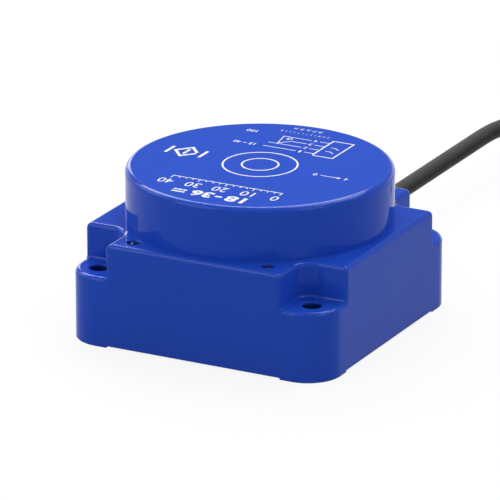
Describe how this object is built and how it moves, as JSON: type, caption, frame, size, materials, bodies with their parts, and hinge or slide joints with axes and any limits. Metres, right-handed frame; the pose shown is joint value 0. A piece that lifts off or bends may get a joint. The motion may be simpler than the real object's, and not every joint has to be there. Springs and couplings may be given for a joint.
{
  "type": "proximity sensor",
  "caption": "Square-bodied inductive proximity sensor with a round sensing head, screw pockets at its corners, indicator windows and a fixed lead with stripped ends.",
  "frame": {"origin": "centre of the mounting plane, under the middle of the square housing", "axes": "+Z towards the sensing face, the indicators at the -Y side, the lead leaves through the +Y wall"},
  "size_m": [0.1411, 0.221, 0.045],
  "materials": {
    "blue_plastic": "satin moulded polyester, blue",
    "resin": "cast resin, dark grey",
    "foam": "soft adhesive pad",
    "ferrite": "sintered ferrite, matt dark grey",
    "bobbin": "natural nylon",
    "copper": "enamelled copper wire",
    "black_plastic": "black moulded plastic",
    "board": "green solder mask",
    "steel": "zinc-plated steel",
    "chip": "black chip package",
    "can": "sleeved aluminium can",
    "ceramic": "fired ceramic",
    "trimmer": "blue trimmer body",
    "lamp_green": "tinted epoxy",
    "lamp_amber": "tinted epoxy",
    "lens_green": "smoked clear lens, unlit",
    "lens_amber": "smoked clear lens, unlit",
    "relief_rubber": "black rubber",
    "jacket": "dark grey oil-resistant PVC, matt",
    "brown_core": "brown PVC",
    "black_core": "black PVC",
    "white_core": "white PVC",
    "blue_core": "blue PVC",
    "tin": "tinned copper"
  },
  "bodies": {
    "root": {"housing": "blue_plastic", "base_cover": "blue_plastic", "resin_layer": "resin", "face_pad": "foam", "ferrite_core": "ferrite", "coil_bobbin": "bobbin", "sensing_coil": "copper", "coil_leads": "copper", "core_carrier": "black_plastic", "circuit_board": "board", "board_screws": "steel", "oscillator_chip": "chip", "evaluation_chip": "chip", "output_transistors": "chip", "protection_diodes": "chip", "smoothing_capacitor": "can", "ceramic_capacitors": "ceramic", "chip_resistors": "chip", "choke_core": "ferrite", "choke_winding": "copper", "trim_resistor": "trimmer", "power_lamp": "lamp_green", "output_lamp": "lamp_amber", "power_lens": "lens_green", "output_lens": "lens_amber", "bend_relief": "relief_rubber", "crimp_ring": "steel", "lead_entry": "jacket", "core_brown": "brown_core", "core_black": "black_core", "core_white": "white_core", "core_blue": "blue_core", "solder_joints": "tin", "lead": "jacket", "lead_coil": "jacket", "lead_tail": "jacket", "end_brown": "brown_core", "end_black": "black_core", "end_white": "white_core", "end_blue": "blue_core", "end_tips": "tin", "coil_ties": "black_plastic"}
  },
  "joints": []
}
